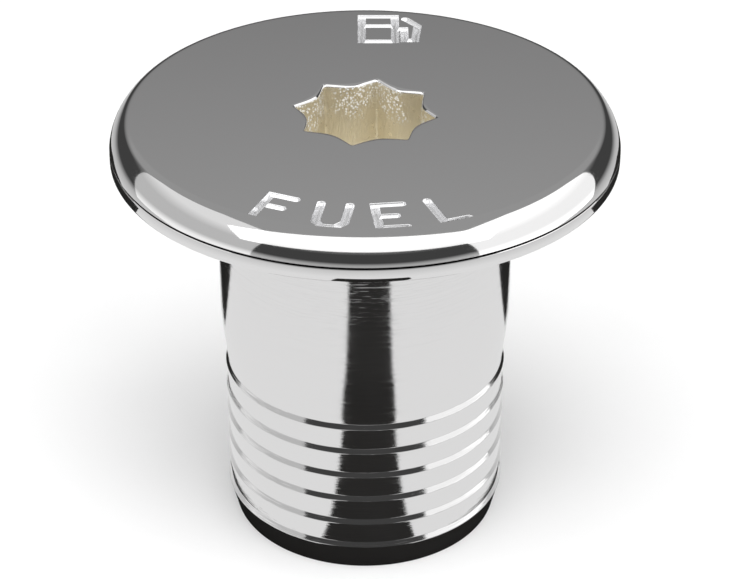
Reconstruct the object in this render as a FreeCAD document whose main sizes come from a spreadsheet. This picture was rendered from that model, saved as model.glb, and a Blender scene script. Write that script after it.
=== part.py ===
# Deck fill cap with its filler body: a chromed brass deck filler, opened with a winch handle.
#
# Frame: the origin is the centre of the flange's underside, which lies on the deck.
# +Z points up through the cap, +Y is the side of the pump symbol, -Y the side of the lettering.
import FreeCAD, Part

import math
import os

import Sketcher

# Driving dimensions in millimetres: alias, value, what it is.
DIMENSIONS = [
    ("axis_radius", 0.0, "the axis, as a radius"),
    ("deck_level", 0.0, "underside of the flange, where it lies on the deck"),
    ("rim_radius", 44.5, "outside of the cap and of the flange"),
    ("cap_top", 8.2, "top face above the deck"),
    ("cap_flat_radius", 41.6, "where the rim's side meets the top"),
    ("cap_edge_round", 8.1, "radius of the rim's side"),
    ("cap_corner_round", 1.6, "radius between the rim and the flat top"),
    ("skirt_bottom", 2.95, "lower edge of the cap's skirt"),
    ("skirt_inside", 41.35, "inside of the skirt"),
    ("cap_underside", 4.56, "underside of the cap's disc"),
    ("plug_neck", 18.3, "smooth neck of the plug, and its thread's root"),
    ("plug_crest", 19.35, "crest of the plug's thread"),
    ("plug_shoulder", -4.4, "top of the plug's thread"),
    ("plug_bottom", -12.0, "lower end of the plug"),
    ("plug_chamfer", 0.8, "chamfer at the plug's lower end"),
    ("cup_radius", 15.0, "hollow in the plug's lower end"),
    ("cup_ceiling", -5.9, "ceiling of that hollow"),
    ("boss_radius", 6.0, "boss that takes the swivel bush"),
    ("boss_bottom", -14.0, "lower end of the boss"),
    ("boss_hole_radius", 4.0, "hole in the boss"),
    ("boss_hole_top", -7.4, "blind end of that hole"),
    ("thread_pitch", 2.309, "pitch of the cap's thread"),
    ("ridge_slope", 0.6, "height of a ridge's flank"),
    ("ridge_crest", 0.8, "height of a ridge's crest"),
    ("star_side", 17.8, "side of each square of the star socket"),
    ("star_floor", -3.3, "floor of the star socket"),
    ("star_corner_round", 1.6, "radius of the star's inner corners"),
    ("star_turn", -10.0, "turn of the star about the axis, degrees"),
    ("letter_height", 7.4, "height of a letter"),
    ("letter_radius", 36.9, "radius of the lettering's middle"),
    ("groove_width", 1.4, "width of an engraved stroke"),
    ("groove_depth", 0.85, "depth of an engraved stroke"),
    ("symbol_x", -0.6, "left edge of the pump symbol"),
    ("symbol_y", 27.9, "foot of the pump symbol"),
    ("symbol_height", 10.6, "height of the pump symbol"),
    ("seal_radius", 20.55, "middle of the seal ring"),
    ("seal_section", 1.53, "radius of the seal ring's section"),
    ("seal_height", 2.98, "height of the seal ring's middle"),
    ("flange_bottom_round", 1.0, "radius of the flange's lower edge"),
    ("flange_flat_radius", 43.5, "where the flange's underside ends"),
    ("flange_side_bottom", 1.0, "lower end of the flange's upright side"),
    ("flange_land", 2.65, "land under the skirt"),
    ("plateau_radius", 41.0, "raised middle of the flange"),
    ("plateau_top", 4.2, "top of the raised middle"),
    ("seat_radius", 22.4, "seat of the seal ring"),
    ("seat_floor", 1.4, "floor of that seat"),
    ("throat_radius", 19.45, "throat, and the crest of its thread"),
    ("throat_root", 20.65, "root of the throat's thread"),
    ("throat_bottom", -12.5, "ledge under the throat"),
    ("throat_chamfer", 0.5, "lead-in at the throat's mouth"),
    ("screw_circle_radius", 33.0, "circle of the deck screws"),
    ("screw_hole_radius", 2.75, "hole for a 5 mm countersunk screw"),
    ("screw_head_radius", 5.2, "mouth of its countersink"),
    ("neck_radius", 26.15, "neck that passes through the deck"),
    ("neck_bottom", -30.8, "lower end of the straight neck"),
    ("waist_radius", 25.35, "foot of the taper under the neck"),
    ("waist_level", -38.2, "height of that foot"),
    ("barb_first", -40.5, "uppermost barb shoulder"),
    ("barb_pitch", 5.12, "distance between barb shoulders"),
    ("barb_crest", 25.55, "barb crests, for a 51 mm hose"),
    ("barb_root", 25.12, "barb roots"),
    ("barb_shoulder", 0.95, "height of a barb's shoulder"),
    ("lead_radius", 25.3, "upper end of the tail's lead-in"),
    ("lead_level", -67.9, "height of that end"),
    ("tail_radius", 24.2, "outside of the tail's end"),
    ("tail_bottom", -72.3, "end of the tail"),
    ("bore_radius", 22.2, "bore of the tail"),
    ("bush_radius", 3.98, "threaded shank of the swivel bush"),
    ("bush_shank_top", -10.4, "upper end of that shank"),
    ("bush_head_flats", 11.0, "across the flats of the bush's hexagon"),
    ("bush_head_height", 2.2, "height of the hexagon"),
    ("stem_radius", 1.55, "stem of the swivel eye"),
    ("stem_clearance", 0.08, "play round the stem"),
    ("stem_head_radius", 3.0, "head of the stem"),
    ("stem_head_bottom", -10.3, "underside of that head"),
    ("stem_head_height", 1.8, "height of that head"),
    ("eye_radius", 3.0, "middle of the eye's ring"),
    ("eye_wire", 0.8, "radius of the eye's wire"),
    ("eye_level", -20.9, "height of the eye's middle"),
    ("link_wire", 0.8, "radius of a link's wire"),
    ("link_end_radius", 1.7, "middle of a link's round ends"),
    ("link_straight", 2.6, "straight side of a link"),
    ("link_play", 0.1, "play where two links meet"),
    ("ring_radius", 4.5, "middle of the toggle ring"),
    ("ring_wire", 0.65, "radius of the toggle ring's wire"),
    ("toggle_drop", 0.35, "toggle's axis below the ring's lowest point"),
    ("toggle_radius", 2.0, "toggle bar"),
    ("toggle_length", 41.0, "length of the toggle bar"),
    ("toggle_hole_radius", 1.5, "hole through the toggle bar"),
]

BARBS = 6
PLUG_RIDGES = 3
THROAT_GROOVES = 3
DECK_SCREWS = 4
FIRST_SCREW_ANGLE = 45
LINKS = 8
STAR_SQUARES = 2
SQUARE, HEXAGON = 4, 6

CUT_PAST = 1.0  # how far a cutting tool runs past the face that it opens
WELD = 1.0  # how deep one fused piece runs into the next
TINY = 0.01  # lengths under this count as none

LETTER_STEP = 15.0
LETTER_MIDDLE = -91.0
# Each letter is strokes between points, as fractions of the letter's height.
LETTERS = {
    "F": [[(0, 0), (0, 1), (0.6, 1)], [(0, 0.52), (0.48, 0.52)]],
    "U": [[(0, 1), (0, 0.22), (0.17, 0), (0.47, 0), (0.64, 0.22), (0.64, 1)]],
    "E": [[(0.6, 1), (0, 1), (0, 0), (0.6, 0)], [(0, 0.5), (0.42, 0.5)]],
    "L": [[(0, 1), (0, 0), (0.56, 0)]],
}
WORD = "FUEL"
LETTER_WIDTH = 0.6
# A petrol pump: cabinet, window sill, and hose with its nozzle, as fractions of its height.
PUMP_SYMBOL = [
    [(0, 0), (0.58, 0), (0.58, 1), (0, 1), (0, 0)],
    [(0, 0.62), (0.58, 0.62)],
    [(0.58, 0.5), (0.74, 0.5), (0.74, 0.04), (0.92, 0.04), (0.98, 0.62), (0.76, 0.9)],
]


class Size:
    """A length made from the sheet's cells: its value and its formula, kept together."""

    def __init__(self, value, formula):
        self.value = value
        self.formula = formula

    def _with(self, other, sign, value):
        text = other.formula if isinstance(other, Size) else repr(other)
        return Size(value, "({} {} {})".format(self.formula, sign, text))

    def __add__(self, other):
        return self._with(other, "+", self.value + amount(other))

    def __sub__(self, other):
        return self._with(other, "-", self.value - amount(other))

    def __mul__(self, other):
        return self._with(other, "*", self.value * amount(other))


def amount(length):
    return length.value if isinstance(length, Size) else length


class Sizes:
    """The dimension sheet, whose cells are read as attributes."""

    def __init__(self, doc):
        sheet = doc.addObject("Spreadsheet::Sheet", "Dims")
        for row, (alias, value, meaning) in enumerate(DIMENSIONS, start=1):
            sheet.set("A{}".format(row), str(value))
            sheet.setAlias("A{}".format(row), alias)
            sheet.set("B{}".format(row), meaning)
            setattr(self, alias, Size(value, "Dims." + alias))
        doc.recompute()


doc = FreeCAD.newDocument("deck_fill_cap")
s = Sizes(doc)


def bind(thing, **sizes):
    """Ties properties of an object to the sheet."""
    for name, size in sizes.items():
        thing.setExpression(name, size.formula)


def place(thing, x=0.0, y=0.0, z=s.deck_level, axis=(0, 0, 1), angle=0.0):
    """Turns an object about its own origin, then moves it; its height stays tied to the sheet."""
    turn = FreeCAD.Rotation(FreeCAD.Vector(*axis), angle)
    thing.Placement = FreeCAD.Placement(FreeCAD.Vector(amount(x), amount(y), amount(z)), turn)
    for name, size in (("x", x), ("y", y), ("z", z)):
        if isinstance(size, Size):
            thing.setExpression("Placement.Base." + name, size.formula)
    return thing


def cylinder(name, radius, height, **where):
    tube = doc.addObject("Part::Cylinder", name)
    bind(tube, Radius=radius, Height=height)
    return place(tube, **where)


def cone(name, bottom, top, height, **where):
    taper = doc.addObject("Part::Cone", name)
    bind(taper, Radius1=bottom, Radius2=top, Height=height)
    return place(taper, **where)


def torus(name, radius, wire, **where):
    ring = doc.addObject("Part::Torus", name)
    bind(ring, Radius1=radius, Radius2=wire)
    return place(ring, **where)


def fused(name, pieces):
    whole = doc.addObject("Part::MultiFuse", name)
    whole.Shapes = pieces
    whole.Refine = True
    return whole


def cut(name, base, tool):
    rest = doc.addObject("Part::Cut", name)
    rest.Base = base
    rest.Tool = tool
    return rest


def rounded_edges(name, base, size, chosen):
    """Rounds the edges of an object that the test picks."""
    doc.recompute()
    soft = doc.addObject("Part::Fillet", name)
    soft.Base = base
    numbers = [i for i, edge in enumerate(base.Shape.Edges, start=1) if chosen(edge)]
    soft.Edges = [(i, amount(size), amount(size)) for i in numbers]
    return soft


def arc_middle(start, end, radius):
    """The middle of the arc from start to end that bulges away from the axis and downwards."""
    chord = end - start
    rise = radius - math.sqrt(radius ** 2 - (chord.Length / 2) ** 2)
    outward = FreeCAD.Vector(-chord.y, chord.x, 0).normalize()
    return (start + end) * 0.5 + outward * rise


def turned(label, outline):
    """A body of revolution about Z. A point of the outline is (radius, height), and has a third
    size, the arc's radius, where the line that arrives at it is round."""
    body = doc.addObject("PartDesign::Body", label)
    sketch = body.newObject("Sketcher::SketchObject", label + "_outline")
    upright = [plane for plane in body.Origin.OriginFeatures if plane.Role == "XZ_Plane"]
    sketch.AttachmentSupport = [(upright[0], "")]
    sketch.MapMode = "FlatFace"
    spots = [FreeCAD.Vector(amount(point[0]), amount(point[1]), 0) for point in outline]
    joints = []
    for i, point in enumerate(outline):
        start, end = spots[i - 1], spots[i]
        if len(point) == 3:
            middle = arc_middle(start, end, amount(point[2]))
            line = sketch.addGeometry(Part.Arc(start, middle, end))
            swapped = (sketch.getPoint(line, 1) - start).Length > (sketch.getPoint(line, 2) - start).Length
            radius = sketch.addConstraint(Sketcher.Constraint("Radius", line, amount(point[2])))
            sketch.setExpression("Constraints[{}]".format(radius), point[2].formula)
        else:
            line = sketch.addGeometry(Part.LineSegment(start, end))
            swapped = False
        joints.append((line, 2, 1) if swapped else (line, 1, 2))
    for i, (line, _, end) in enumerate(joints):
        after, start, _ = joints[(i + 1) % len(joints)]
        sketch.addConstraint(Sketcher.Constraint("Coincident", line, end, after, start))
        for kind, size in zip(("DistanceX", "DistanceY"), outline[i]):
            number = sketch.addConstraint(Sketcher.Constraint(kind, -1, 1, line, end, amount(size)))
            sketch.setExpression("Constraints[{}]".format(number), size.formula)
    turning = body.newObject("PartDesign::Revolution", label + "_turned")
    turning.Profile = sketch
    turning.ReferenceAxis = (sketch, ["V_Axis"])
    turning.Angle = 360
    body.Tip = turning
    return body


def groove_stroke(name, start, end):
    """One engraved stroke: a slot between two points of the cap's top."""
    run = FreeCAD.Vector(end[0] - start[0], end[1] - start[1], 0)
    heading = math.degrees(math.atan2(run.y, run.x))
    side = FreeCAD.Vector(run.y, -run.x, 0).normalize() * (amount(s.groove_width) / 2)
    slot = doc.addObject("Part::Box", name)
    slot.Length = run.Length
    bind(slot, Width=s.groove_width, Height=s.groove_depth * 2)
    place(slot, start[0] + side.x, start[1] + side.y, s.cap_top - s.groove_depth, angle=heading)
    return slot


def groove_corner(name, spot):
    """The round end or corner of an engraved stroke."""
    return cylinder(name, s.groove_width * 0.5, s.groove_depth * 2,
                    x=spot[0], y=spot[1], z=s.cap_top - s.groove_depth)


def engraving(name, strokes, to_top):
    """Slots along every stroke of a figure; to_top turns a figure's point into one on the cap."""
    pieces = []
    for path in strokes:
        spots = [to_top(point) for point in path]
        for i, spot in enumerate(spots):
            if i == 0 or spot != spots[0]:
                pieces.append(groove_corner("{}_end_{}".format(name, len(pieces)), spot))
            if i > 0:
                pieces.append(groove_stroke("{}_slot_{}".format(name, len(pieces)), spots[i - 1], spot))
    return pieces


def lettering():
    """The word in an arc at the cap's front edge, read from the front."""
    pieces = []
    high = amount(s.letter_height)
    for i, letter in enumerate(WORD):
        angle = math.radians(LETTER_MIDDLE + (i - (len(WORD) - 1) / 2) * LETTER_STEP)
        out = FreeCAD.Vector(math.cos(angle), math.sin(angle), 0)
        along = FreeCAD.Vector(-math.sin(angle), math.cos(angle), 0)

        def to_top(point):
            spot = out * (amount(s.letter_radius) - (point[1] - 0.5) * high)
            spot += along * ((point[0] - LETTER_WIDTH / 2) * high)
            return spot.x, spot.y

        pieces += engraving("letter_{}".format(letter), LETTERS[letter], to_top)
    return pieces


def pump_symbol():
    """The pump at the cap's back edge."""
    high = amount(s.symbol_height)
    left, foot = amount(s.symbol_x), amount(s.symbol_y)
    return engraving("pump", PUMP_SYMBOL, lambda p: (left + p[0] * high, foot + p[1] * high))


def star_socket():
    """The recess for a winch handle: squares turned about the axis, with rounded inner corners."""
    squares = []
    for i in range(STAR_SQUARES):
        square = doc.addObject("Part::Prism", "star_square_{}".format(i))
        square.Polygon = SQUARE
        square.setExpression("Circumradius", (s.star_side * math.sqrt(0.5)).formula)
        bind(square, Height=s.cap_top - s.star_floor + CUT_PAST)
        turn = amount(s.star_turn) + i * 90 / STAR_SQUARES
        squares.append(place(square, z=s.star_floor, angle=turn))
    star = fused("star_sharp", squares)
    tip = amount(s.star_side) * math.sqrt(0.5)

    def inner_corner(edge):
        box, middle = edge.BoundBox, edge.CenterOfMass
        upright = max(box.XLength, box.YLength) < TINY
        return upright and math.hypot(middle.x, middle.y) < tip - amount(s.star_corner_round)

    return rounded_edges("star_socket", star, s.star_corner_round, inner_corner)


def cap():
    """Disc with its skirt, threaded plug, boss for the swivel, star socket and engraving."""
    outline = [
        (s.axis_radius, s.boss_hole_top),
        (s.axis_radius, s.cap_top),
        (s.cap_flat_radius, s.cap_top),
        (s.rim_radius, s.skirt_bottom, s.cap_edge_round),
        (s.skirt_inside, s.skirt_bottom),
        (s.skirt_inside, s.cap_underside),
        (s.plug_neck, s.cap_underside),
    ]
    for i in range(PLUG_RIDGES):
        top = s.plug_shoulder - s.thread_pitch * i
        outline += [
            (s.plug_neck, top),
            (s.plug_crest, top - s.ridge_slope),
            (s.plug_crest, top - s.ridge_slope - s.ridge_crest),
            (s.plug_neck, top - s.ridge_slope * 2 - s.ridge_crest),
        ]
    outline += [
        (s.plug_neck, s.plug_bottom + s.plug_chamfer),
        (s.plug_neck - s.plug_chamfer, s.plug_bottom),
        (s.cup_radius, s.plug_bottom),
        (s.cup_radius, s.cup_ceiling),
        (s.boss_radius, s.cup_ceiling),
        (s.boss_radius, s.boss_bottom),
        (s.boss_hole_radius, s.boss_bottom),
        (s.boss_hole_radius, s.boss_hole_top),
    ]
    blank = turned("cap_blank", outline)

    def top_corner(edge):
        box = edge.BoundBox
        return box.ZLength < TINY and abs(box.ZMax - amount(s.cap_top)) < TINY

    soft = rounded_edges("cap_soft", blank, s.cap_corner_round, top_corner)
    tools = [star_socket()] + lettering() + pump_symbol()
    return cut("cap", soft, fused("cap_recesses", tools))


def seal_ring():
    return torus("seal_ring", s.seal_radius, s.seal_section, z=s.seal_height)


def deck_screw_holes():
    """Countersunk holes through the flange, hidden by the cap."""
    holes = []
    for i in range(DECK_SCREWS):
        angle = math.radians(FIRST_SCREW_ANGLE + i * 360 / DECK_SCREWS)
        x, y = s.screw_circle_radius * math.cos(angle), s.screw_circle_radius * math.sin(angle)
        holes.append(cylinder("screw_hole_{}".format(i), s.screw_hole_radius,
                              s.plateau_top + CUT_PAST * 2, x=x, y=y, z=s.deck_level - CUT_PAST))
        depth = s.screw_head_radius - s.screw_hole_radius
        holes.append(cone("screw_sink_{}".format(i), s.screw_hole_radius, s.screw_head_radius, depth,
                          x=x, y=y, z=s.plateau_top - depth))
    return holes


def filler_body():
    """Flange, neck and barbed hose tail in one casting, with the threaded throat inside."""
    outline = [
        (s.seat_radius, s.plateau_top),
        (s.plateau_radius, s.plateau_top),
        (s.plateau_radius, s.flange_land),
        (s.rim_radius, s.flange_land),
        (s.rim_radius, s.flange_side_bottom),
        (s.flange_flat_radius, s.deck_level, s.flange_bottom_round),
        (s.neck_radius, s.deck_level),
        (s.neck_radius, s.neck_bottom),
        (s.waist_radius, s.waist_level),
    ]
    for i in range(BARBS):
        top = s.barb_first - s.barb_pitch * i
        outline += [(s.barb_root, top), (s.barb_crest, top - s.barb_shoulder)]
    outline += [
        (s.lead_radius, s.lead_level),
        (s.tail_radius, s.tail_bottom),
        (s.bore_radius, s.tail_bottom),
        (s.bore_radius, s.throat_bottom),
        (s.throat_radius, s.throat_bottom),
    ]
    for i in reversed(range(THROAT_GROOVES)):
        top = s.plug_shoulder - s.thread_pitch * i
        outline += [
            (s.throat_radius, top - s.ridge_slope * 2 - s.ridge_crest),
            (s.throat_root, top - s.ridge_slope - s.ridge_crest),
            (s.throat_root, top - s.ridge_slope),
            (s.throat_radius, top),
        ]
    outline += [
        (s.throat_radius, s.seat_floor - s.throat_chamfer),
        (s.throat_radius + s.throat_chamfer, s.seat_floor),
        (s.seat_radius, s.seat_floor),
    ]
    blank = turned("filler_blank", outline)
    return cut("filler_body", blank, fused("screw_holes", deck_screw_holes()))


def swivel_bush():
    """Hexagon-headed bush screwed into the boss; it holds the swivel eye's head captive."""
    head = doc.addObject("Part::Prism", "bush_head")
    head.Polygon = HEXAGON
    head.setExpression("Circumradius", (s.bush_head_flats * (1 / math.sqrt(3))).formula)
    bind(head, Height=s.bush_head_height)
    place(head, z=s.boss_bottom - s.bush_head_height)
    shank = cylinder("bush_shank", s.bush_radius, s.bush_shank_top - s.boss_bottom, z=s.boss_bottom)
    bore = cylinder("bush_bore", s.stem_radius + s.stem_clearance,
                    s.bush_shank_top - s.boss_bottom + s.bush_head_height + CUT_PAST * 2,
                    z=s.boss_bottom - s.bush_head_height - CUT_PAST)
    return cut("swivel_bush", fused("bush_solid", [head, shank]), bore)


def swivel_eye():
    """Headed stem with a ring at its foot; it turns in the bush."""
    neck_foot = s.eye_level + s.eye_radius
    return fused("swivel_eye", [
        cylinder("eye_head", s.stem_head_radius, s.stem_head_height, z=s.stem_head_bottom),
        cylinder("eye_stem", s.stem_radius, s.stem_head_bottom - neck_foot + WELD, z=neck_foot),
        torus("eye_ring", s.eye_radius, s.eye_wire, z=s.eye_level, axis=(1, 0, 0), angle=90),
    ])


def link_level(i):
    """Height of a link's middle; link 0 hangs in the eye, and each further link in the last."""
    reach = s.link_straight * 0.5 + s.link_end_radius - s.link_wire
    first = s.eye_level - s.eye_radius + s.eye_wire + s.link_play - reach
    return first - (reach * 2 - s.link_play) * i


def chain_link(i):
    """An oval link of round wire, turned a quarter from its neighbours."""
    name = "chain_link_{}".format(i + 1)
    wire = s.link_wire
    half, offset = amount(s.link_straight) / 2, amount(s.link_end_radius)
    path = Part.Wire([
        Part.LineSegment(FreeCAD.Vector(offset, 0, -half), FreeCAD.Vector(offset, 0, half)).toShape(),
        Part.Arc(FreeCAD.Vector(offset, 0, half), FreeCAD.Vector(0, 0, half + offset),
                 FreeCAD.Vector(-offset, 0, half)).toShape(),
        Part.LineSegment(FreeCAD.Vector(-offset, 0, half), FreeCAD.Vector(-offset, 0, -half)).toShape(),
        Part.Arc(FreeCAD.Vector(-offset, 0, -half), FreeCAD.Vector(0, 0, -half - offset),
                 FreeCAD.Vector(offset, 0, -half)).toShape(),
    ])
    section = Part.Wire([Part.Circle(FreeCAD.Vector(offset, 0, -half), FreeCAD.Vector(0, 0, 1),
                                     amount(wire)).toShape()])
    link = doc.addObject("Part::Feature", name)
    link.Shape = path.makePipeShell([section], True, False)
    return place(link, z=link_level(i), angle=90 if i % 2 == 0 else 0)


def ring_level():
    """Height of the toggle ring's middle: its top wire lies in the last link."""
    last_wire = link_level(LINKS - 1) - s.link_straight * 0.5 - s.link_end_radius
    return last_wire + s.link_wire + s.link_play + s.ring_wire - s.ring_radius


def toggle_ring():
    return torus("toggle_ring", s.ring_radius, s.ring_wire, z=ring_level(), axis=(0, 1, 0), angle=90)


def toggle_bar():
    """Bar longer than the throat is wide, so that it catches under the throat's ledge."""
    level = ring_level() - s.ring_radius - s.toggle_drop
    straight = s.toggle_length - s.toggle_radius * 2
    left = straight * -0.5
    pieces = [cylinder("toggle_middle", s.toggle_radius, straight, x=left, z=level, axis=(0, 1, 0), angle=90)]
    for name, x in (("toggle_left", left), ("toggle_right", straight * 0.5)):
        end = doc.addObject("Part::Sphere", name)
        bind(end, Radius=s.toggle_radius)
        pieces.append(place(end, x=x, z=level))
    hole = cylinder("toggle_hole", s.toggle_hole_radius, s.toggle_radius * 2 + CUT_PAST * 2,
                    y=s.toggle_radius + CUT_PAST, z=level, axis=(1, 0, 0), angle=90)
    return cut("toggle_bar", fused("toggle_solid", pieces), hole)


def check(part):
    if part.Shape.isNull() or not part.Shape.isValid():
        raise RuntimeError(part.Label + " has no valid shape")
    print("{:15s} {:9.1f} mm3  {} solid(s)".format(part.Label, part.Shape.Volume, len(part.Shape.Solids)))


parts = [cap(), seal_ring(), filler_body(), swivel_bush(), swivel_eye()]
parts += [chain_link(i) for i in range(LINKS)]
parts += [toggle_ring(), toggle_bar()]
doc.recompute()

for thing in doc.Objects:
    if "Invalid" in thing.State or "Error" in thing.State:
        raise RuntimeError(thing.Label + " failed: " + ", ".join(thing.State))

os.makedirs("parts", exist_ok=True)
for part in parts:
    check(part)
    part.Shape.exportStep("parts/{}.step".format(part.Label))
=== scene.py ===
"""Deck fill cap: chromed cap and filler body, with the captive chain inside."""
import math

import bmesh
import bpy
import numpy as np
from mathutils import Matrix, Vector


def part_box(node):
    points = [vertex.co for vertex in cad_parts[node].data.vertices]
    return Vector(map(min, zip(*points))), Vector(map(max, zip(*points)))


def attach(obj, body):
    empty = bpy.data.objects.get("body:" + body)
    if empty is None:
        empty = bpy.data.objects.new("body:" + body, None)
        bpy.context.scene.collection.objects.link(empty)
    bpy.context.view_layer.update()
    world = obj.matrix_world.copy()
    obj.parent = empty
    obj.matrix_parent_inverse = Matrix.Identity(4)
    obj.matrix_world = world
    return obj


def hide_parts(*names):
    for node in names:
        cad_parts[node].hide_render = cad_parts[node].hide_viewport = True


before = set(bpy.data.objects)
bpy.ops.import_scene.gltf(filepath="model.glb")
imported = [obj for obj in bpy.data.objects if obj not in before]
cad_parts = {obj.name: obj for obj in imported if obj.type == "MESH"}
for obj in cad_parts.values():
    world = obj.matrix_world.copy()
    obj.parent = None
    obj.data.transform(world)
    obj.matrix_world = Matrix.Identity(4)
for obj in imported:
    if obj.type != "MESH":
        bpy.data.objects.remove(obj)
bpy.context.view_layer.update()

MM = 0.001
FULL_TURN = 2 * math.pi

# ---------------------------------------------------------------- sizes in millimetres

cap_low, cap_high = (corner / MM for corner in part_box("cap"))
body_low, body_high = (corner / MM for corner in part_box("filler_body"))
RIM = cap_high.x
CAP_TOP = cap_high.z
BOSS_BOTTOM = cap_low.z
PLATEAU = body_high.z
TAIL_END = body_low.z

CAP_FLAT = 41.6
EDGE_ROUND = 8.1
CORNER_ROUND = 1.6
SKIRT_BOTTOM = 2.95
SKIRT_INSIDE = 41.35
CAP_UNDERSIDE = 4.56
THREAD_TOP = -4.4
THREAD_LENGTH = 6.6
PLUG_END = -12.0
HOLLOW_RADIUS, HOLLOW_TOP = 15.0, -5.9
BOSS_RADIUS = 6.0
BOSS_HOLE_RADIUS, BOSS_HOLE_TOP = 4.0, -7.4
PITCH = 2.309
PLUG_ROOT, PLUG_CREST = 18.3, 19.35
THROAT_CREST, THROAT_ROOT = 19.45, 20.65
STAR_HALF = 8.9
STAR_FLOOR = -3.3
STAR_TURN = math.radians(-10)
TIP_POWER = 40  # the higher, the sharper the star's tips
CORNER_BLEND = 0.8  # softness of its inner corners
LIP = [(0.0, 0.46), (0.05, 0.37), (0.25, 0.06), (0.32, 0.015), (0.4, 0.0)]  # outward, down

COLUMNS = 720
ANGLES = np.arange(COLUMNS) * FULL_TURN / COLUMNS


# ---------------------------------------------------------------- mesh helpers

def shade(mesh, sharp_angle=32.0):
    """Smooth shading, except across corners sharper than the angle."""
    work = bmesh.new()
    work.from_mesh(mesh)
    bmesh.ops.remove_doubles(work, verts=work.verts, dist=2e-7)
    bmesh.ops.recalc_face_normals(work, faces=work.faces)
    limit = math.radians(sharp_angle)
    for face in work.faces:
        face.smooth = True
    for edge in work.edges:
        edge.smooth = len(edge.link_faces) == 2 and edge.calc_face_angle(0.0) < limit
    work.to_mesh(mesh)
    work.free()


def new_piece(name, points, faces, *materials):
    """A mesh object from points in millimetres."""
    mesh = bpy.data.meshes.new(name)
    mesh.from_pydata((np.asarray(points) * MM).tolist(), [], faces)
    for look in materials:
        mesh.materials.append(look)
    piece = bpy.data.objects.new(name, mesh)
    bpy.context.collection.objects.link(piece)
    return piece


def rounded(outline, steps=4):
    """Corners (radius, height, rounding) of an open outline, each turned into a small arc."""
    corners = [np.array(corner[:2], float) for corner in outline]
    smooth = []
    for i, corner in enumerate(corners):
        rounding = outline[i][2]
        if rounding <= 0 or i in (0, len(corners) - 1):
            smooth.append(tuple(corner))
            continue
        back, ahead = corners[i - 1] - corner, corners[i + 1] - corner
        reach = min(rounding, np.linalg.norm(back) * 0.45, np.linalg.norm(ahead) * 0.45)
        start = corner + back / np.linalg.norm(back) * reach
        end = corner + ahead / np.linalg.norm(ahead) * reach
        for share in np.linspace(0, 1, steps + 1):
            curve = (1 - share) ** 2 * start + 2 * share * (1 - share) * corner + share ** 2 * end
            smooth.append(tuple(curve))
    return smooth


def circle_centre(start, end, radius):
    """Centre of the circle through both points whose arc bulges away from the axis."""
    start, end = np.array(start), np.array(end)
    chord = end - start
    normal = np.array([chord[1], -chord[0]]) / np.linalg.norm(chord)
    return (start + end) / 2 + normal * math.sqrt(radius ** 2 - chord @ chord / 4)


def arc(centre, radius, first, last, steps):
    turns = np.linspace(first, last, steps + 1)
    return [(centre[0] + radius * math.cos(t), centre[1] + radius * math.sin(t)) for t in turns]


def rings_of(outline):
    """Each point of an outline as a ring of constant radius and height."""
    return [(np.full(COLUMNS, float(r)), np.full(COLUMNS, float(z))) for r, z in outline]


def turned(rings, closed):
    """Points and quads of successive rings round the axis."""
    radius = np.array([ring[0] for ring in rings])
    height = np.array([ring[1] for ring in rings])
    points = np.stack([radius * np.cos(ANGLES), radius * np.sin(ANGLES), height], axis=-1)
    index = np.arange(radius.size).reshape(radius.shape)
    below = np.roll(index, -1, axis=0) if closed else index[1:]
    above = index if closed else index[:-1]
    quads = np.stack([above, np.roll(above, -1, axis=1), np.roll(below, -1, axis=1), below], axis=-1)
    return points.reshape(-1, 3), quads.reshape(-1, 4).tolist()


def smoothstep(low, high, value):
    share = np.clip((value - low) / (high - low), 0, 1)
    return share * share * (3 - 2 * share)


def thread_rings(root, crest, levels, flip=1):
    """Rings of a right-hand thread that fades out at both ends; flip -1 makes it an inside thread."""
    rings = []
    top, bottom = max(levels), min(levels)
    for level in levels:
        phase = ((level - top) / PITCH - ANGLES / FULL_TURN) % 1.0
        ridge = smoothstep(0.1, 0.34, phase) * (1 - smoothstep(0.66, 0.9, phase))
        fade = smoothstep(0, 0.7, top - level) * smoothstep(0, 0.7, level - bottom)
        share = ridge * fade if flip > 0 else 1 - (1 - ridge) * fade
        rings.append((root + (crest - root) * share, np.full(COLUMNS, level)))
    return rings


def cut_away(piece, cutters):
    """Cuts the solids out of the piece and removes them."""
    group = bpy.data.collections.new("cutters")
    for cutter in cutters:
        group.objects.link(cutter)
    hole = piece.modifiers.new("cut", "BOOLEAN")
    hole.operand_type = "COLLECTION"
    hole.collection = group
    hole.solver = "EXACT"
    graph = bpy.context.evaluated_depsgraph_get()
    piece.data = bpy.data.meshes.new_from_object(piece.evaluated_get(graph))
    piece.modifiers.clear()
    for cutter in cutters:
        bpy.data.objects.remove(cutter)
    bpy.data.collections.remove(group)


def by_place(piece, chooser):
    """Sets each face's material from its middle's radius and height, in millimetres."""
    for face in piece.data.polygons:
        x, y, z = face.center / MM
        face.material_index = chooser(math.hypot(x, y), z)


# ---------------------------------------------------------------- materials

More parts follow.
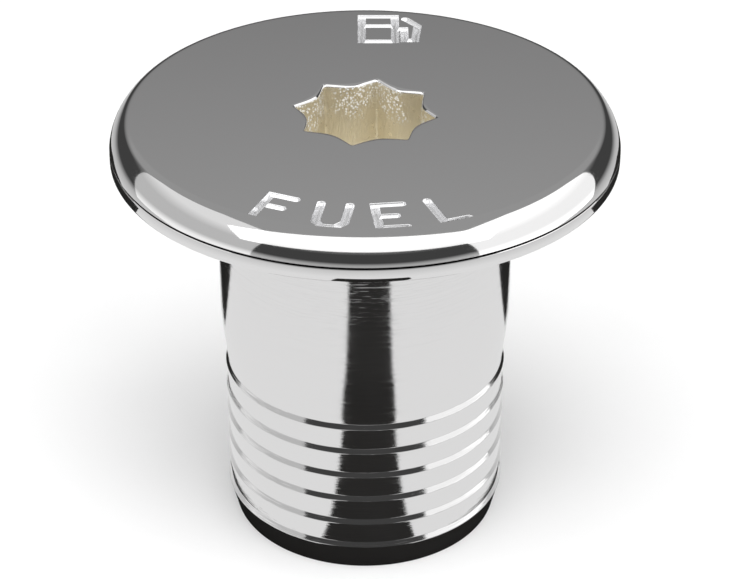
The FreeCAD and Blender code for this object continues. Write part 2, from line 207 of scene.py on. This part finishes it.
class Look:
    """A procedural material, built up from its Principled shader."""

    def __init__(self, name, colour, metallic, roughness, **sockets):
        self.material = bpy.data.materials.new(name)
        self.material.use_nodes = True
        self.tree = self.material.node_tree
        self.shader = self.tree.nodes["Principled BSDF"]
        self.set("Base Color", (*colour, 1))
        self.set("Metallic", metallic)
        self.set("Roughness", roughness)
        for socket, value in sockets.items():
            self.set(socket.replace("_", " "), value)
        self.height = None

    def set(self, socket, value):
        self.shader.inputs[socket].default_value = value

    def node(self, kind, **settings):
        made = self.tree.nodes.new(kind)
        for key, value in settings.items():
            setattr(made, key, value)
        return made

    def link(self, source, target):
        self.tree.links.new(source, target)

    def noise(self, scale, detail=3.0, stretch=(1, 1, 1), roughness=0.5):
        """Noise in object space; a large stretch makes it change fast along that axis."""
        place = self.node("ShaderNodeTexCoord")
        mapping = self.node("ShaderNodeMapping")
        mapping.inputs["Scale"].default_value = stretch
        texture = self.node("ShaderNodeTexNoise")
        texture.inputs["Scale"].default_value = scale
        texture.inputs["Detail"].default_value = detail
        texture.inputs["Roughness"].default_value = roughness
        self.link(place.outputs["Object"], mapping.inputs["Vector"])
        self.link(mapping.outputs["Vector"], texture.inputs["Vector"])
        return texture.outputs["Fac"]

    def ramp(self, value, low, high, start=0.3, end=0.7):
        """Maps a value to a range of numbers."""
        spread = self.node("ShaderNodeMapRange")
        spread.inputs["From Min"].default_value = start
        spread.inputs["From Max"].default_value = end
        spread.inputs["To Min"].default_value = low
        spread.inputs["To Max"].default_value = high
        self.link(value, spread.inputs["Value"])
        return spread.outputs["Result"]

    def colours(self, value, *stops):
        """Maps a value to colours: (position, colour) pairs."""
        band = self.node("ShaderNodeValToRGB")
        while len(band.color_ramp.elements) < len(stops):
            band.color_ramp.elements.new(0.5)
        for element, (position, colour) in zip(band.color_ramp.elements, stops):
            element.position = position
            element.color = (*colour, 1)
        self.link(value, band.inputs["Fac"])
        self.link(band.outputs["Color"], self.shader.inputs["Base Color"])

    def bump(self, height, depth, strength=1.0):
        """Adds relief of a depth in metres, on top of any earlier relief."""
        relief = self.node("ShaderNodeBump")
        relief.inputs["Strength"].default_value = strength
        relief.inputs["Distance"].default_value = depth
        self.link(height, relief.inputs["Height"])
        if self.height is not None:
            self.link(self.height, relief.inputs["Normal"])
        self.height = relief.outputs["Normal"]
        self.link(self.height, self.shader.inputs["Normal"])

    def along_rings(self, amount):
        """Stretches highlights across marks that run round the axis."""
        tangent = self.node("ShaderNodeTangent", direction_type="RADIAL", axis="Z")
        self.link(tangent.outputs["Tangent"], self.shader.inputs["Tangent"])
        self.set("Anisotropic", amount)


CHROME = (0.93, 0.925, 0.925)


def polished_chrome():
    """Mirror plate, with the faint cloudiness of buffing."""
    look = Look("polished_chrome", CHROME, 1.0, 0.04)
    look.link(look.ramp(look.noise(900, 4), 0.035, 0.075), look.shader.inputs["Roughness"])
    look.bump(look.noise(140, 2), 0.00001, 0.08)
    return look.material


def engraved_chrome():
    """Plate inside the engraving, a little frosted."""
    look = Look("engraved_chrome", (0.95, 0.95, 0.96), 0.72, 0.16)
    look.link(look.ramp(look.noise(1200, 2), 0.11, 0.2), look.shader.inputs["Roughness"])
    look.bump(look.noise(500, 2), 0.00002, 0.2)
    return look.material


def turned_chrome():
    """Plated neck with the fine lines left by the lathe."""
    look = Look("turned_chrome", CHROME, 1.0, 0.06)
    look.along_rings(0.6)
    look.link(look.ramp(look.noise(1.0, 4, (60, 60, 2600)), 0.04, 0.12), look.shader.inputs["Roughness"])
    look.bump(look.noise(1.0, 3, (70, 70, 1500), 0.75), 0.00006, 0.55)
    look.bump(look.noise(1.0, 2, (150, 150, 4500)), 0.00002, 0.5)
    return look.material


def satin_plate():
    """Plate over an unpolished casting, as inside the neck and under the cap."""
    look = Look("satin_plate", (0.80, 0.79, 0.77), 1.0, 0.34)
    look.link(look.ramp(look.noise(600, 4), 0.28, 0.42), look.shader.inputs["Roughness"])
    look.bump(look.noise(1500, 3), 0.00004, 0.25)
    return look.material


def cast_plate():
    """Sand-cast walls of the star socket: warm and grainy, with painted glints as white dots on the upper
    walls.
    """
    look = Look("cast_plate", (0.87, 0.81, 0.66), 0.8, 0.4)
    place = look.node("ShaderNodeTexCoord")
    split = look.node("ShaderNodeSeparateXYZ")
    look.link(place.outputs["Object"], split.inputs[0])
    # painted highlight: white, barely metallic dots in patches on the upper walls stand in for glints
    glint_cells = look.node("ShaderNodeTexVoronoi")
    glint_cells.inputs["Scale"].default_value = 2100
    look.link(place.outputs["Object"], glint_cells.inputs["Vector"])
    glint_patches = look.node("ShaderNodeMath", operation="MULTIPLY")
    look.link(look.ramp(split.outputs["Z"], 0, 1, 0.0005, 0.0035), glint_patches.inputs[0])
    look.link(look.ramp(look.noise(170, 1), 0, 1, 0.44, 0.54), glint_patches.inputs[1])
    glint_dots = look.node("ShaderNodeMath", operation="MULTIPLY")
    look.link(look.ramp(glint_cells.outputs["Distance"], 1, 0, 0.3, 0.45), glint_dots.inputs[0])
    look.link(glint_patches.outputs[0], glint_dots.inputs[1])
    painted_glint = glint_dots.outputs[0]
    look.colours(painted_glint, (0, (0.87, 0.81, 0.66)), (0.6, (1.0, 1.0, 0.98)))
    look.link(look.ramp(painted_glint, 0.8, 0.0, 0, 1), look.shader.inputs["Metallic"])
    look.link(look.ramp(look.noise(1200, 3), 0.26, 0.42), look.shader.inputs["Roughness"])
    look.bump(look.noise(1900, 2, roughness=0.6), 0.00008, 0.7)
    return look.material


def rubber():
    look = Look("nitrile_rubber", (0.022, 0.022, 0.023), 0.0, 0.55)
    look.colours(look.noise(300, 3), (0.35, (0.016, 0.016, 0.017)), (0.65, (0.032, 0.032, 0.033)))
    look.bump(look.noise(2500, 2), 0.00002, 0.4)
    return look.material


def machined_brass():
    look = Look("machined_brass", (0.76, 0.58, 0.28), 1.0, 0.25)
    look.colours(look.noise(250, 3), (0.35, (0.70, 0.51, 0.23)), (0.65, (0.82, 0.65, 0.34)))
    look.link(look.ramp(look.noise(1.0, 3, (300, 300, 4000)), 0.18, 0.34), look.shader.inputs["Roughness"])
    look.bump(look.noise(1.0, 2, (200, 200, 5000)), 0.00001, 0.3)
    return look.material


def nickel_wire():
    look = Look("nickel_wire", (0.74, 0.70, 0.63), 1.0, 0.2)
    look.colours(look.noise(400, 3), (0.35, (0.66, 0.61, 0.52)), (0.65, (0.80, 0.77, 0.71)))
    look.link(look.ramp(look.noise(1200, 3), 0.14, 0.30), look.shader.inputs["Roughness"])
    look.bump(look.noise(2000, 3), 0.00002, 0.3)
    return look.material


# ---------------------------------------------------------------- cap

LETTER_HEIGHT = 7.4
LETTER_RADIUS = 36.9
LETTER_STEP = math.radians(15)
LETTER_MIDDLE = math.radians(-91)
LETTER_WIDTH = 0.6
WORD = "FUEL"
BRANCH = 0.04  # a stroke that leaves another one's side starts this far from its middle
# Each letter is strokes between points, as fractions of the letter's height.
LETTERS = {
    "F": [[(0, 0), (0, 1), (0.6, 1)], [(BRANCH, 0.52), (0.48, 0.52)]],
    "U": [[(0, 1), (0, 0.22), (0.17, 0), (0.47, 0), (0.64, 0.22), (0.64, 1)]],
    "E": [[(0.6, 1), (0, 1), (0, 0), (0.6, 0)], [(BRANCH, 0.5), (0.42, 0.5)]],
    "L": [[(0, 1), (0, 0), (0.56, 0)]],
}
PUMP_HEIGHT = 10.6
PUMP_FOOT = np.array([-0.6, 27.9])
# A petrol pump: cabinet, window sill, and hose with its nozzle, as fractions of its height.
PUMP = [
    [(0, 0), (0.58, 0), (0.58, 1), (0, 1), (0, 0)],
    [(BRANCH, 0.62), (0.58 - BRANCH, 0.62)],
    [(0.58 + BRANCH, 0.5), (0.74, 0.5), (0.74, 0.04), (0.92, 0.04), (0.98, 0.62), (0.76, 0.9)],
]
# Section of an engraved stroke: distance from its middle, height above the cap's top.
GROOVE = [(0.84, 0.5), (0.84, 0.05), (0.75, -0.03), (0.71, -0.09), (0.675, -0.22), (0.54, -0.44),
          (0.4, -0.67), (0.26, -0.83), (0.1, -0.9)]
GROOVE_END_STEPS = 10
PLATE_INSIDE = 26.0


def letter_strokes():
    """The word's strokes on the cap's top, in an arc that is read from the front."""
    strokes = []
    for i, letter in enumerate(WORD):
        angle = LETTER_MIDDLE + (i - (len(WORD) - 1) / 2) * LETTER_STEP
        out = np.array([math.cos(angle), math.sin(angle)])
        along = np.array([-out[1], out[0]])
        for path in LETTERS[letter]:
            strokes.append([out * (LETTER_RADIUS - (v - 0.5) * LETTER_HEIGHT)
                            + along * ((u - LETTER_WIDTH / 2) * LETTER_HEIGHT) for u, v in path])
    return strokes


def pump_strokes():
    return [[PUMP_FOOT + np.array(point) * PUMP_HEIGHT for point in path] for path in PUMP]


def heading(start, end):
    return (end - start) / np.linalg.norm(end - start)


def left_of(direction):
    return np.array([-direction[1], direction[0]])


def mitred(path, distance):
    """The line at a distance to the left of a closed path, or of an open one without its ends."""
    closed = np.allclose(path[0], path[-1])
    corners = path[:-1] if closed else path[1:-1]
    line = []
    for i, corner in enumerate(corners):
        before = path[i - 1 if i else -2] if closed else path[i]
        after = path[i + 1] if closed else path[i + 2]
        sides = left_of(heading(before, corner)), left_of(heading(corner, after))
        line.append(corner + (sides[0] + sides[1]) / (1 + sides[0] @ sides[1]) * distance)
    return line


def round_end(last, tip, distance):
    """Half circle round the end of a stroke, from its left side to its right."""
    forward = heading(last, tip)
    turns = np.linspace(math.pi / 2, -math.pi / 2, GROOVE_END_STEPS + 1)
    return [tip + (forward * math.cos(t) + left_of(forward) * math.sin(t)) * distance for t in turns]


def stroke_rows(path):
    """A stroke's volume as rows of points, one row or two for each point of its section."""
    if np.allclose(path[0], path[-1]):
        outside = [(mitred(path, -distance), height) for distance, height in GROOVE]
        return outside + [(mitred(path, distance), height) for distance, height in reversed(GROOVE)]
    back = path[::-1]
    return [(mitred(path, distance) + round_end(path[-2], path[-1], distance)
             + mitred(back, distance) + round_end(path[1], path[0], distance), height)
            for distance, height in GROOVE]


def stroke_cutter(path):
    """A solid along one engraved stroke."""
    rows = stroke_rows(path)
    count = len(rows[0][0])
    points = [(x, y, CAP_TOP + height) for row, height in rows for x, y in row]
    index = np.arange(len(points)).reshape(len(rows), count)
    below = np.roll(index, -1, axis=0)
    quads = np.stack([index, np.roll(index, -1, axis=1), np.roll(below, -1, axis=1), below], axis=-1)
    if np.allclose(path[0], path[-1]):
        faces = quads.reshape(-1, 4).tolist()
    else:
        faces = quads[:-1].reshape(-1, 4).tolist() + [index[0].tolist(), index[-1].tolist()]
    cutter = new_piece("stroke_cutter", points, faces)
    shade(cutter.data)
    return cutter


def star_outline():
    """Radius of the socket at each angle: two squares an eighth of a turn apart, corners softened."""
    sides = []
    for turn in (STAR_TURN, STAR_TURN + math.pi / 4):
        flat = ANGLES - turn
        across, along = np.abs(np.cos(flat)), np.abs(np.sin(flat))
        sides.append(STAR_HALF / (across ** TIP_POWER + along ** TIP_POWER) ** (1 / TIP_POWER))
    return CORNER_BLEND * np.log(np.exp(sides[0] / CORNER_BLEND) + np.exp(sides[1] / CORNER_BLEND))


def star_rings():
    """Rings from the socket's floor up its walls to the polished lip."""
    star = star_outline()
    rings = [(star * share, np.full(COLUMNS, STAR_FLOOR)) for share in (0.0, 0.4, 0.8, 0.96)]
    rng = np.random.default_rng(7)
    levels = np.linspace(STAR_FLOOR, CAP_TOP - LIP[0][1], 22)
    for level in levels[:-1]:
        grain = rng.normal(0, 0.03, COLUMNS) if level > STAR_FLOOR else 0.0
        rings.append((star + grain, np.full(COLUMNS, level)))
    for outward, down in LIP:
        rings.append((star + outward, np.full(COLUMNS, CAP_TOP - down)))
    return rings


def rim_outline():
    """The cap's rounded edge, from the flat top down to the skirt's lower edge."""
    side = circle_centre((CAP_FLAT, CAP_TOP), (RIM, SKIRT_BOTTOM), EDGE_ROUND)
    corner_level = CAP_TOP - CORNER_ROUND
    corner_out = math.sqrt((EDGE_ROUND - CORNER_ROUND) ** 2 - (corner_level - side[1]) ** 2)
    corner = (side[0] + corner_out, corner_level)
    meeting = math.atan2(corner_level - side[1], corner_out)
    lowest = math.atan2(SKIRT_BOTTOM + 0.15 - side[1], RIM - side[0])
    return (arc(corner, CORNER_ROUND, math.pi / 2, meeting, 7)
            + arc(side, EDGE_ROUND, meeting, lowest, 14)[1:])


def inner_top_rings():
    """The flat top, from the socket's lip to the engraved part."""
    star = star_outline() + LIP[-1][0]
    rings = [(star * (1 - share) + 15.0 * share, np.full(COLUMNS, CAP_TOP)) for share in (0.1, 0.5, 1)]
    return rings + rings_of([(20, CAP_TOP), (PLATE_INSIDE, CAP_TOP)])


def engraved_plate(outside):
    """The flat top's outer part, cut by the strokes: an open sheet."""
    bottom = CAP_TOP - 2
    outline = [(PLATE_INSIDE, bottom), (PLATE_INSIDE, CAP_TOP), (32, CAP_TOP), (38, CAP_TOP),
               (outside, CAP_TOP), (outside, bottom)]
    slab = new_piece("slab", *turned(rings_of(outline), closed=True))
    shade(slab.data)
    cut_away(slab, [stroke_cutter(path) for path in letter_strokes() + pump_strokes()])
    sheet = bmesh.new()
    sheet.from_mesh(slab.data)
    bpy.data.objects.remove(slab)

    def is_backing(face):
        middle = face.calc_center_median() / MM
        radius = math.hypot(middle.x, middle.y)
        return middle.z < GROOVE[-1][1] + CAP_TOP - 0.1 or not PLATE_INSIDE + 0.01 < radius < outside - 0.01

    backing = [face for face in sheet.faces if is_backing(face)]
    bmesh.ops.delete(sheet, geom=backing, context="FACES")
    return sheet


def cap_piece(mirror, satin, cast, frosted):
    """Cap with its rim, skirt, threaded plug, boss and star socket, as one closed mesh."""
    edge = rim_outline()
    under = rounded([
        (edge[-1][0], edge[-1][1], 0),
        (RIM - 0.1, SKIRT_BOTTOM, 0.12),
        (SKIRT_INSIDE, SKIRT_BOTTOM, 0.15),
        (SKIRT_INSIDE, CAP_UNDERSIDE, 0.15),
        (PLUG_ROOT, CAP_UNDERSIDE, 0.4),
        (PLUG_ROOT, THREAD_TOP + 0.3, 0),
    ], 3)[1:]
    levels = np.arange(THREAD_TOP, THREAD_TOP - THREAD_LENGTH - 0.01, -0.22)
    foot = rounded([
        (PLUG_ROOT, levels[-1] - 0.1, 0),
        (PLUG_ROOT, -11.2, 0.1),
        (PLUG_ROOT - 0.8, PLUG_END, 0.1),
        (HOLLOW_RADIUS, PLUG_END, 0.2),
        (HOLLOW_RADIUS, HOLLOW_TOP, 0.5),
        (BOSS_RADIUS, HOLLOW_TOP, 0.5),
        (BOSS_RADIUS, BOSS_BOTTOM, 0.2),
        (BOSS_HOLE_RADIUS, BOSS_BOTTOM, 0.1),
        (BOSS_HOLE_RADIUS, BOSS_HOLE_TOP, 0),
        (0.0, BOSS_HOLE_TOP, 0),
    ], 2)
    plate_outside = edge[0][0] - 0.3
    outer = rings_of([(plate_outside, CAP_TOP)] + edge + under)
    outer += thread_rings(PLUG_ROOT, PLUG_CREST, levels) + rings_of(foot)
    piece = new_piece("cap_shell", *turned(star_rings() + inner_top_rings(), closed=False),
                      mirror, satin, cast, frosted)
    shell = engraved_plate(plate_outside)
    shell.from_mesh(piece.data)
    around = new_piece("around", *turned(outer, closed=False))
    shell.from_mesh(around.data)
    bpy.data.objects.remove(around)
    shell.to_mesh(piece.data)
    shell.free()
    shade(piece.data)

    def finish_of(radius, level):
        if radius < 13.2 and STAR_FLOOR - 0.1 < level < CAP_TOP - LIP[0][1]:
            return 2
        if PLATE_INSIDE < radius < plate_outside and CAP_TOP - 1 < level < CAP_TOP - 0.03:
            return 3
        if radius < SKIRT_INSIDE + 0.1 and level < CAP_UNDERSIDE + 0.05:
            return 1
        return 0

    by_place(piece, finish_of)
    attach(piece, "cap")
    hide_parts("cap")
    return piece


# ---------------------------------------------------------------- filler body

FLANGE_LAND = 2.65
FLANGE_ROUND = 1.0
BARBS = 6
BARB_FIRST, BARB_PITCH = -40.5, 5.12
BARB_CREST, BARB_ROOT, BARB_SHOULDER = 25.55, 25.12, 0.95
NECK, NECK_BOTTOM = 26.15, -30.8
TAPER_END, TAPER_BOTTOM = 25.35, -38.2
LEAD, LEAD_TOP, TAIL_TIP = 25.3, -67.9, 24.2
STEP_OUTSIDE = 41.0
BORE = 22.2
THROAT_BOTTOM = -12.5
SEAT, SEAT_FLOOR = 22.4, 1.4
SCREWS = 4
SCREW_STEPS = 64
SCREW_CIRCLE, SCREW_HOLE, SCREW_HEAD = 33.0, 2.75, 5.2


def body_outline():
    """Flange, neck, hose tail and bore, from the thread's lower end round to the seal's seat."""
    outside = rounded([
        (SEAT, PLATEAU - 1, 0),
        (SEAT, PLATEAU, 0.15),
        (STEP_OUTSIDE, PLATEAU, 0.2),
        (STEP_OUTSIDE, FLANGE_LAND, 0.1),
        (RIM, FLANGE_LAND, 0.18),
        (RIM, FLANGE_ROUND + 0.1, 0),
    ], 3)
    lower_edge = arc((RIM - FLANGE_ROUND, FLANGE_ROUND), FLANGE_ROUND, 0, -math.pi / 2, 9)
    corners = [(RIM - FLANGE_ROUND - 0.1, 0.0, 0), (NECK, 0.0, 0.3), (NECK, NECK_BOTTOM, 2.5),
               (TAPER_END, TAPER_BOTTOM, 1.5)]
    for i in range(BARBS):
        top = BARB_FIRST - BARB_PITCH * i
        corners += [(BARB_ROOT, top, 0.1), (BARB_CREST, top - BARB_SHOULDER, 0.12)]
    corners += [
        (LEAD, LEAD_TOP, 0.5),
        (TAIL_TIP, TAIL_END, 0.3),
        (BORE, TAIL_END, 0.3),
        (BORE, THROAT_BOTTOM, 0.4),
        (THROAT_CREST, THROAT_BOTTOM, 0.3),
        (THROAT_CREST, THREAD_TOP - THREAD_LENGTH - 0.4, 0),
    ]
    return outside + lower_edge + densely(rounded(corners, 2))


def densely(outline, longest=12.0):
    """Adds points where an outline runs straight for long."""
    full = [outline[0]]
    for start, end in zip(outline[:-1], outline[1:]):
        parts = max(1, math.ceil(math.dist(start, end) / longest))
        full += [tuple(np.array(start) + (np.array(end) - np.array(start)) * i / parts)
                 for i in range(1, parts + 1)]
    return full


def screw_cutter(i):
    """A countersunk hole's volume, used to cut the flange."""
    angle = math.radians(45 + i * 360 / SCREWS)
    outline = [(0, -2), (SCREW_HOLE, -2), (SCREW_HOLE, PLATEAU - SCREW_HEAD + SCREW_HOLE),
               (SCREW_HEAD + 1, PLATEAU + 1), (0, PLATEAU + 1)]
    turns = np.arange(SCREW_STEPS) * FULL_TURN / SCREW_STEPS
    radius, height = np.array(outline).T
    points = np.stack([np.outer(radius, np.cos(turns)) + SCREW_CIRCLE * math.cos(angle),
                       np.outer(radius, np.sin(turns)) + SCREW_CIRCLE * math.sin(angle),
                       np.repeat(height[:, None], SCREW_STEPS, axis=1)], axis=-1).reshape(-1, 3)
    index = np.arange(len(outline) * SCREW_STEPS).reshape(len(outline), SCREW_STEPS)
    quads = np.stack([index[:-1], np.roll(index[:-1], -1, axis=1),
                      np.roll(index[1:], -1, axis=1), index[1:]], axis=-1)
    cutter = new_piece("screw_cutter_{}".format(i), points, quads.reshape(-1, 4).tolist())
    shade(cutter.data)
    return cutter


def body_piece(mirror, brushed, satin):
    """Filler body: flange, neck with lathe marks, barbed tail, throat with its thread."""
    levels = np.arange(THREAD_TOP - THREAD_LENGTH, THREAD_TOP + 0.01, 0.3)
    mouth = rounded([
        (THROAT_CREST, THREAD_TOP + 0.2, 0),
        (THROAT_CREST, SEAT_FLOOR - 0.5, 0.1),
        (THROAT_CREST + 0.5, SEAT_FLOOR, 0.1),
        (SEAT, SEAT_FLOOR, 0.2),
        (SEAT, SEAT_FLOOR + 1, 0),
    ], 2)
    rings = rings_of(body_outline())
    rings += thread_rings(THROAT_ROOT, THROAT_CREST, levels, flip=-1) + rings_of(mouth)
    piece = new_piece("filler_shell", *turned(rings, closed=True), mirror, brushed, satin)
    shade(piece.data)
    cut_away(piece, [screw_cutter(i) for i in range(SCREWS)])
    shade(piece.data)

    def finish_of(radius, level):
        if radius < SEAT + 0.3:
            return 2
        if level < -0.2:
            return 1
        return 0

    by_place(piece, finish_of)
    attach(piece, "filler")
    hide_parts("filler_body")
    return piece


# ---------------------------------------------------------------- looks of the carried-over pieces

def dress(look, *nodes):
    for node in nodes:
        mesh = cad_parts[node].data
        mesh.materials.clear()
        mesh.materials.append(look)


mirror, brushed, satin, cast = polished_chrome(), turned_chrome(), satin_plate(), cast_plate()
cap_piece(mirror, satin, cast, engraved_chrome())
body_piece(mirror, brushed, satin)
wire = nickel_wire()
dress(rubber(), "seal_ring")
dress(machined_brass(), "swivel_bush")
dress(wire, "swivel_eye", "toggle_ring", "toggle_bar")
dress(wire, *[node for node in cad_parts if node.startswith("chain_link")])


# ---------------------------------------------------------------- stage

FLOOR_RADIUS = 2.6
FLOOR_GLOW = 0.95  # of the far floor; it rises between these distances
GLOW_FROM, GLOW_TO = 0.25, 1.0
BACKDROP_RADIUS = 3.0


def hide_from(thing, *rays):
    """Leaves a stage object out of what these kinds of ray see."""
    for ray in rays:
        setattr(thing, "visible_" + ray, False)


def floor():
    """Plain pale table; what the chrome mirrors in its place is the room and the cards."""
    bpy.ops.mesh.primitive_circle_add(vertices=128, radius=FLOOR_RADIUS, fill_type="NGON",
                                      location=(0, 0, TAIL_END * MM))
    table = bpy.context.object
    table.name = "floor"
    look = Look("floor_white", (0.92, 0.92, 0.92), 0.0, 0.7)
    place = look.node("ShaderNodeTexCoord")
    reach = look.node("ShaderNodeVectorMath", operation="LENGTH")
    look.link(place.outputs["Object"], reach.inputs[0])
    far_glow = look.ramp(reach.outputs["Value"], 0, FLOOR_GLOW, GLOW_FROM, GLOW_TO)
    look.set("Emission Color", (1, 1, 1, 1))
    look.link(far_glow, look.shader.inputs["Emission Strength"])
    look.link(look.ramp(look.noise(6, 3), 0.66, 0.74), look.shader.inputs["Roughness"])
    table.data.materials.append(look.material)
    hide_from(table, "glossy")


def backdrop():
    """A pale dome that only the camera sees, behind the far edge of the floor."""
    bpy.ops.mesh.primitive_uv_sphere_add(segments=64, ring_count=32, radius=BACKDROP_RADIUS)
    dome = bpy.context.object
    dome.name = "backdrop"
    look = bpy.data.materials.new("backdrop_pale")
    look.use_nodes = True
    tree = look.node_tree
    tree.nodes.clear()
    glow = tree.nodes.new("ShaderNodeEmission")
    glow.inputs["Color"].default_value = (0.96, 0.96, 0.96, 1)
    target = tree.nodes.new("ShaderNodeOutputMaterial")
    tree.links.new(glow.outputs["Emission"], target.inputs["Surface"])
    dome.data.materials.append(look)
    hide_from(dome, "diffuse", "glossy", "transmission", "shadow")


# The room's grey by elevation in degrees: lit table, its far part, dark horizon, ceiling.
ROOM = [(-30, 0.75), (-12, 0.45), (-4, 0.05), (15, 0.05), (30, 0.3)]

# Soft boxes: name, degrees right of the camera, degrees up, width and height in metres, brightness.
SOFT_BOXES = [
    ("left_box", -80, 15, 1.4, 1.2, 0.35),
    ("right_box", 80, 15, 1.4, 1.2, 0.7),
    ("front_box", 0, 38, 2.6, 0.6, 0.7),
]
BOX_DISTANCE = 1.0
WATTS_PER_BRIGHTNESS = 4.0  # for a square metre of area light
SOFT_LIGHT_AIM = (0, 0, -0.03)

CAMERA_PLACE = (0.0, -0.3812, 0.2043)
CAMERA_DOWN = math.radians(31.36)
CAMERA_LENS, CAMERA_SENSOR = 121.56, 36.0

# Dark cards on the table, in millimetres: a disc under the tail, which is a painted shadow of the
# foot that only the chrome mirrors, a wedge in front, and a square behind on either side.
FOOT_SHADOW_CARD = 30.0
FRONT_CARD = [(-12, -28), (14, -28), (45, -150), (-28, -150)]
BACK_CARD = [(50, 50), (180, 50), (180, 180), (50, 180)]
CARD_LEVEL = 0.1


def studio():
    """A plain room whose grey depends only on how high one looks."""
    world = bpy.data.worlds.new("studio")
    bpy.context.scene.world = world
    world.use_nodes = True
    tree = world.node_tree
    tree.nodes.clear()
    direction = tree.nodes.new("ShaderNodeTexCoord")
    split = tree.nodes.new("ShaderNodeSeparateXYZ")
    height = tree.nodes.new("ShaderNodeMapRange")
    height.inputs["From Min"].default_value = -1.0
    shades = tree.nodes.new("ShaderNodeValToRGB")
    while len(shades.color_ramp.elements) < len(ROOM):
        shades.color_ramp.elements.new(0.5)
    for element, (elevation, grey) in zip(shades.color_ramp.elements, ROOM):
        element.position = (math.sin(math.radians(elevation)) + 1) / 2
        element.color = (grey, grey, grey, 1)
    glow = tree.nodes.new("ShaderNodeBackground")
    target = tree.nodes.new("ShaderNodeOutputWorld")
    tree.links.new(direction.outputs["Generated"], split.inputs[0])
    tree.links.new(split.outputs["Z"], height.inputs["Value"])
    tree.links.new(height.outputs["Result"], shades.inputs["Fac"])
    tree.links.new(shades.outputs["Color"], glow.inputs["Color"])
    tree.links.new(glow.outputs["Background"], target.inputs["Surface"])


def aim_at(thing, target):
    thing.rotation_euler = (Vector(target) - thing.location).to_track_quat("-Z", "Y").to_euler()


def area_light(name, shape, place, aim, power):
    lamp = bpy.data.lights.new(name, "AREA")
    lamp.shape = shape
    lamp.energy = power
    holder = bpy.data.objects.new(name, lamp)
    bpy.context.collection.objects.link(holder)
    holder.location = place
    aim_at(holder, aim)
    return holder


def soft_box(name, right, up, width, height, brightness):
    """A soft box that faces the object and shows in the chrome."""
    turn, rise = math.radians(right), math.radians(up)
    away = Vector((math.sin(turn) * math.cos(rise), -math.cos(turn) * math.cos(rise), math.sin(rise)))
    power = brightness * WATTS_PER_BRIGHTNESS * width * height
    box = area_light(name, "RECTANGLE", away * BOX_DISTANCE, (0, 0, 0), power)
    box.data.size = width
    box.data.size_y = height
    hide_from(box, "camera")


def soft_light(name, place, size, power):
    """A large soft light that whitens the table and fills the socket; the chrome doesn't mirror it."""
    light = area_light(name, "DISK", place, SOFT_LIGHT_AIM, power)
    light.data.size = size
    hide_from(light, "glossy")


def circle(radius, steps=64):
    turns = np.linspace(0, FULL_TURN, steps, endpoint=False)
    return [(radius * math.cos(turn), radius * math.sin(turn)) for turn in turns]


def card_black():
    look = Look("card_black", (0.004, 0.0035, 0.003), 0.0, 0.9)
    look.link(look.ramp(look.noise(40, 2), 0.85, 0.95), look.shader.inputs["Roughness"])
    return look.material


def dark_card(name, outline, material):
    """A dark card lying on the table, which only the chrome mirrors; the disc under the tail is a painted
    shadow.
    """
    points = [(x, y, TAIL_END + CARD_LEVEL) for x, y in outline]
    card = new_piece(name, points, [list(range(len(points)))], material)
    hide_from(card, "camera", "diffuse", "transmission", "shadow")


def camera():
    """Above and in front, as far away as the photograph's perspective asks."""
    lens = bpy.data.cameras.new("camera")
    lens.lens = CAMERA_LENS
    lens.sensor_width = CAMERA_SENSOR
    holder = bpy.data.objects.new("camera", lens)
    bpy.context.collection.objects.link(holder)
    holder.location = CAMERA_PLACE
    holder.rotation_euler = (math.pi / 2 - CAMERA_DOWN, 0, 0)
    bpy.context.scene.camera = holder


floor()
backdrop()
studio()
for box in SOFT_BOXES:
    soft_box(*box)
black = card_black()
# painted shadow: a black disc under the tail that the chrome mirrors as the shade at its foot
dark_card("foot_shadow_card", circle(FOOT_SHADOW_CARD), black)
dark_card("front_card", FRONT_CARD, black)
dark_card("right_card", BACK_CARD, black)
dark_card("left_card", [(-x, y) for x, y in BACK_CARD], black)
soft_light("key", (-0.35, -0.35, 1.4), 1.8, 18)
soft_light("fill", (0.6, -0.5, 1.1), 1.6, 8)
camera()
bpy.context.scene.view_settings.view_transform = "Standard"
